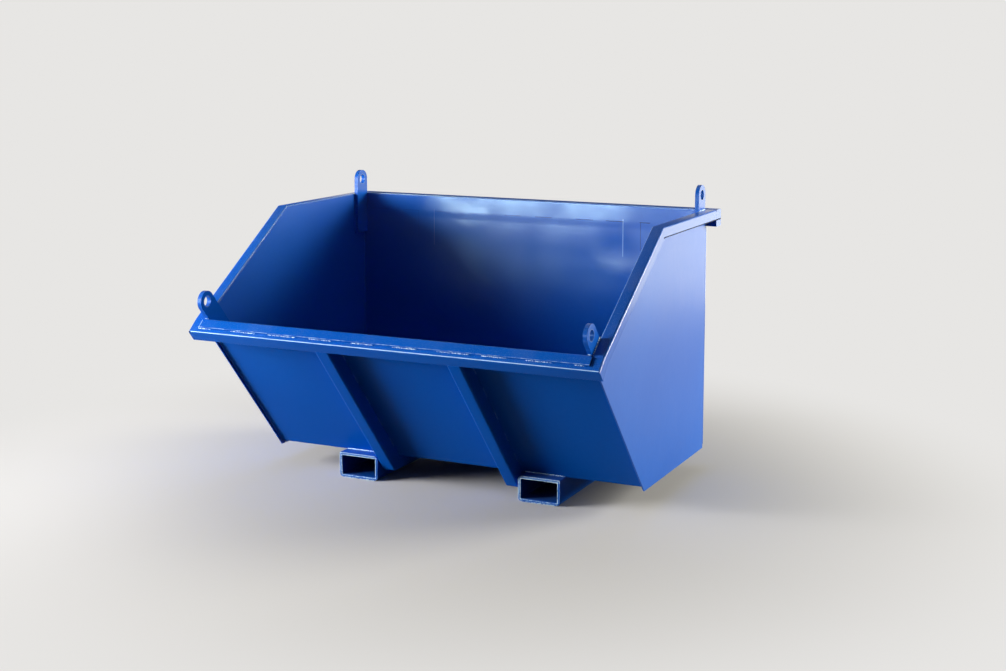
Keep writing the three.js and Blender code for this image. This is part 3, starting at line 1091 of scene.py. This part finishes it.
class HOPPER_OT_shell_seams(bpy.types.Operator):
    """Long seams that close the corners of the hopper, inside and outside"""

    bl_idname = "hopper.shell_seams"
    bl_label = "Shell seams"

    def execute(self, context):
        welds = context.scene.hopper_welds
        finish = bead_finish(context.scene.hopper_paint)
        corner = PLATE_INNER - FACE_LIFT
        back = BACK_INNER - BEAD_LIFT
        floor = FLOOR_TOP + BEAD_LIFT
        inner = WALL_INNER_INSET + BEAD_LIFT
        outer = WALL_OUTER_INSET - BEAD_LIFT

        foot = front_point(corner, inner, WALL_FOOT_RISE + BEAD_STOP)
        low = Vector((corner, foot.y + BEAD_STOP, floor))
        runs = [
            (Vector((corner, back, floor)), Vector((corner, back, RIM_TOP - 0.20))),
            (low, Vector((corner, back, floor))),
            (foot, front_point(corner, inner, -0.205)),
        ]
        inside = both_sides(runs)
        inside += [tuple(Vector((x, y, floor)) for x in (-corner, corner)) for y in (back, low.y)]
        lay_beads("inside_seams", inside, welds.seam_radius, welds, finish, 5)

        rises = -0.072, WALL_FOOT_RISE + 0.008
        outside = [tuple(front_point(corner, outer, rise) for rise in rises)]
        level = FLOOR_UNDER - FACE_LIFT
        start = Vector((corner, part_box("floor_plate")[0].y + 0.02, level))
        end = Vector((corner, BACK_INNER - 0.02, level))
        outside += stitches_between(start, end, 5, 0.5)
        radius = welds.seam_radius * OUTSIDE_SHARE
        lay_beads("outside_seams", both_sides(outside), radius, welds, finish, 6)
        return {"FINISHED"}


class HOPPER_OT_rear_welds(bpy.types.Operator):
    """Stitch welds of the rail and the stiffeners on the back wall, and under the level rims"""

    bl_idname = "hopper.rear_welds"
    bl_label = "Rear welds"

    def execute(self, context):
        welds = context.scene.hopper_welds
        finish = bead_finish(context.scene.hopper_paint)
        y = BACK_OUTER + FACE_LIFT
        z = RAIL_UNDER - BEAD_LIFT
        runs = [(Vector((a, y, z)), Vector((b, y, z))) for a, b in RAIL_STITCHES]
        lo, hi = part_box("rear_stiffener_right")
        upright = []
        for x in (lo.x - BEAD_LIFT, hi.x + BEAD_LIFT):
            upright += [(Vector((x, y, a)), Vector((x, y, b))) for a, b in STIFFENER_STITCHES]
        runs += both_sides(upright)
        side = PLATE_OUTER + BEAD_LIFT
        level = RIM_TOP - 0.0068
        start = Vector((side, BEND_Y + 0.03, level))
        end = Vector((side, BACK_INNER - 0.02, level))
        runs += both_sides(stitches_between(start, end, 4, 0.4))
        lay_beads("rear_welds", runs, welds.seam_radius, welds, finish, 7)
        return {"FINISHED"}


FLOOR_RADIUS = 45.0
FLOOR_GAP = 0.0005

# How far from the middle the floor begins to fade into the backdrop, and ends in it
FADE = (0.9, 2.7)

# How much light the floor sends back to the object, and how bright the ceiling is beside the
# backdrop
BOUNCE = 0.12
CEILING = 0.35

WHITE = (1.0, 1.0, 1.0)
WARM = (1.0, 0.98, 0.88)
PALE = (1.0, 0.98, 0.72)
COOL = (0.62, 0.92, 1.0)

# Each lamp: the name of its power, place, target, size, colour, and whether it is seen in
# reflections alone
LAMPS = (
    ("top", (0.4, 1.0, 4.6), (0.0, 0.0, 0.3), (4.5, 4.0), WHITE, False),
    ("left", (-4.3, -2.8, 1.5), (0.0, 0.0, 0.8), (2.6, 2.4), WHITE, False),
    ("right", (6.5, 4.5, 2.3), (0.9, 0.2, 0.6), (4.0, 2.6), WARM, False),
    ("front", (-2.1, -4.4, 1.15), (0.0, 0.64, 1.1), (2.4, 1.0), COOL, True),
    ("rear", (2.4, 3.0, 1.4), (0.9, 0.2, 0.8), (3.2, 2.4), PALE, True),
)

CAMERA_PLACE = (3.0008, -5.9048, 1.9373)
CAMERA_YAW = math.radians(-24.99)
CAMERA_PITCH = math.radians(-7.54)
CAMERA_ROLL = math.radians(0.09)
CAMERA_SENSOR = 36.0
CAMERA_LENS = 56.08
CAMERA_SHIFT = (-0.0132, -0.0958)


class HOPPER_OT_stage(bpy.types.Operator):
    """Floor, soft light and camera"""

    bl_idname = "hopper.stage"
    bl_label = "Studio"

    def execute(self, context):
        stage = context.scene.hopper_stage
        deselect_all()
        bpy.ops.mesh.primitive_circle_add(
            vertices=96,
            radius=FLOOR_RADIUS,
            fill_type="NGON",
            location=(0.0, 0.0, -FLOOR_GAP),
        )
        floor = bpy.context.object
        bpy.ops.object.transform_apply(location=True, rotation=True, scale=True)
        floor.name = "studio_floor"
        floor.data.materials.append(self.floor_finish(stage))
        self.light(stage)
        self.camera(context)
        return {"FINISHED"}

    def floor_finish(self, stage):
        """A pale matt floor that runs out into the colour of the room behind it."""
        finish = Finish("studio_floor")
        x, y, _ = finish.axes()
        tone = tuple(stage.floor)
        dim = tuple(channel * 0.96 for channel in tone)
        colour = finish.mix(finish.noise(finish.place(), 0.35, 2.0), dim, tone)
        near = {"Color": colour}
        near = finish.output(finish.add("ShaderNodeBsdfDiffuse", None, near), "BSDF")
        bounce = {"Color": grey(BOUNCE)}
        bounce = finish.output(finish.add("ShaderNodeBsdfDiffuse", None, bounce), "BSDF")
        room = {"Color": rgba(tuple(stage.backdrop)), "Strength": 1.0}
        far = finish.output(finish.add("ShaderNodeEmission", None, room), "Emission")
        reach = (x * x + y * y).root()
        shown = finish.blend(finish.step(reach, *FADE), near, far)
        surface = {"Surface": finish.blend(finish.seen(), bounce, shown)}
        finish.add("ShaderNodeOutputMaterial", None, surface)
        return finish.material

    def room_finish(self, stage):
        """Even light from all round, which is seen as a pale room with a darker ceiling."""
        finish = Finish("studio_room", bpy.data.worlds)
        wall = tuple(stage.backdrop)
        ceiling = tuple(channel * CEILING for channel in wall)
        tone = finish.mix(finish.step(finish.axes()[2], 0.20, 0.85), wall, ceiling)
        fill = {"Color": grey(1.0), "Strength": stage.fill}
        fill = finish.output(finish.add("ShaderNodeBackground", None, fill), "Background")
        shown = {"Color": tone, "Strength": 1.0}
        shown = finish.output(finish.add("ShaderNodeBackground", None, shown), "Background")
        surface = {"Surface": finish.blend(finish.seen(), fill, shown)}
        finish.add("ShaderNodeOutputWorld", None, surface)
        return finish.material

    def light(self, stage):
        bpy.context.scene.world = self.room_finish(stage)
        for name, place, target, size, colour, mirrored in LAMPS:
            deselect_all()
            bpy.ops.object.light_add(type="AREA", location=place)
            lamp = bpy.context.object
            lamp.name = name + "_lamp"
            lamp.data.shape = "RECTANGLE"
            lamp.data.size, lamp.data.size_y = size
            lamp.data.energy = getattr(stage, name)
            lamp.data.color = colour
            lamp.visible_camera = False
            lamp.visible_diffuse = not mirrored
            aim = Vector(target) - Vector(place)
            lamp.rotation_euler = aim.to_track_quat("-Z", "Y").to_euler()

    def camera(self, context):
        ahead = math.cos(CAMERA_PITCH)
        forward = Vector(
            (math.sin(CAMERA_YAW) * ahead, math.cos(CAMERA_YAW) * ahead, math.sin(CAMERA_PITCH))
        )
        level = Vector((math.cos(CAMERA_YAW), -math.sin(CAMERA_YAW), 0.0))
        upright = level.cross(forward)
        right = level * math.cos(CAMERA_ROLL) + upright * math.sin(CAMERA_ROLL)
        upright = right.cross(forward)
        turn = Matrix((right, upright, -forward)).transposed()
        deselect_all()
        bpy.ops.object.camera_add(location=CAMERA_PLACE)
        camera = bpy.context.object
        camera.name = "studio_camera"
        camera.rotation_euler = turn.to_euler()
        camera.data.sensor_width = CAMERA_SENSOR
        camera.data.lens = CAMERA_LENS
        camera.data.shift_x, camera.data.shift_y = CAMERA_SHIFT
        context.scene.camera = camera
        context.scene.view_settings.view_transform = "Standard"


OPERATORS = (
    HOPPER_OT_paint_shell,
    HOPPER_OT_rim_stitches,
    HOPPER_OT_lug_welds,
    HOPPER_OT_pocket_welds,
    HOPPER_OT_rib_welds,
    HOPPER_OT_shell_seams,
    HOPPER_OT_rear_welds,
    HOPPER_OT_stage,
)


class HOPPER_PT_panel(bpy.types.Panel):
    """Sizes, colours and pieces of the hopper"""

    bl_idname = "HOPPER_PT_panel"
    bl_label = "Waste hopper"
    bl_space_type = "VIEW_3D"
    bl_region_type = "UI"
    bl_category = "Hopper"

    def draw(self, context):
        scene = context.scene
        for title, group in (
            ("Enamel", scene.hopper_paint),
            ("Welds", scene.hopper_welds),
            ("Studio", scene.hopper_stage),
        ):
            box = self.layout.box()
            box.label(text=title)
            for name in group.__annotations__:
                box.prop(group, name)
        for operator in OPERATORS:
            self.layout.operator(operator.bl_idname)


GROUPS = (
    (HopperPaint, "hopper_paint"),
    (HopperWelds, "hopper_welds"),
    (HopperStage, "hopper_stage"),
)


def register():
    for group, name in GROUPS:
        bpy.utils.register_class(group)
        setattr(bpy.types.Scene, name, bpy.props.PointerProperty(type=group))
    for operator in OPERATORS:
        bpy.utils.register_class(operator)
    bpy.utils.register_class(HOPPER_PT_panel)


def unregister():
    bpy.utils.unregister_class(HOPPER_PT_panel)
    for operator in reversed(OPERATORS):
        bpy.utils.unregister_class(operator)
    for group, name in reversed(GROUPS):
        delattr(bpy.types.Scene, name)
        bpy.utils.unregister_class(group)


def main():
    register()
    bpy.ops.hopper.paint_shell()
    bpy.ops.hopper.rim_stitches()
    bpy.ops.hopper.lug_welds()
    bpy.ops.hopper.pocket_welds()
    bpy.ops.hopper.rib_welds()
    bpy.ops.hopper.shell_seams()
    bpy.ops.hopper.rear_welds()
    bpy.ops.hopper.stage()


if __name__ == "__main__":
    main()
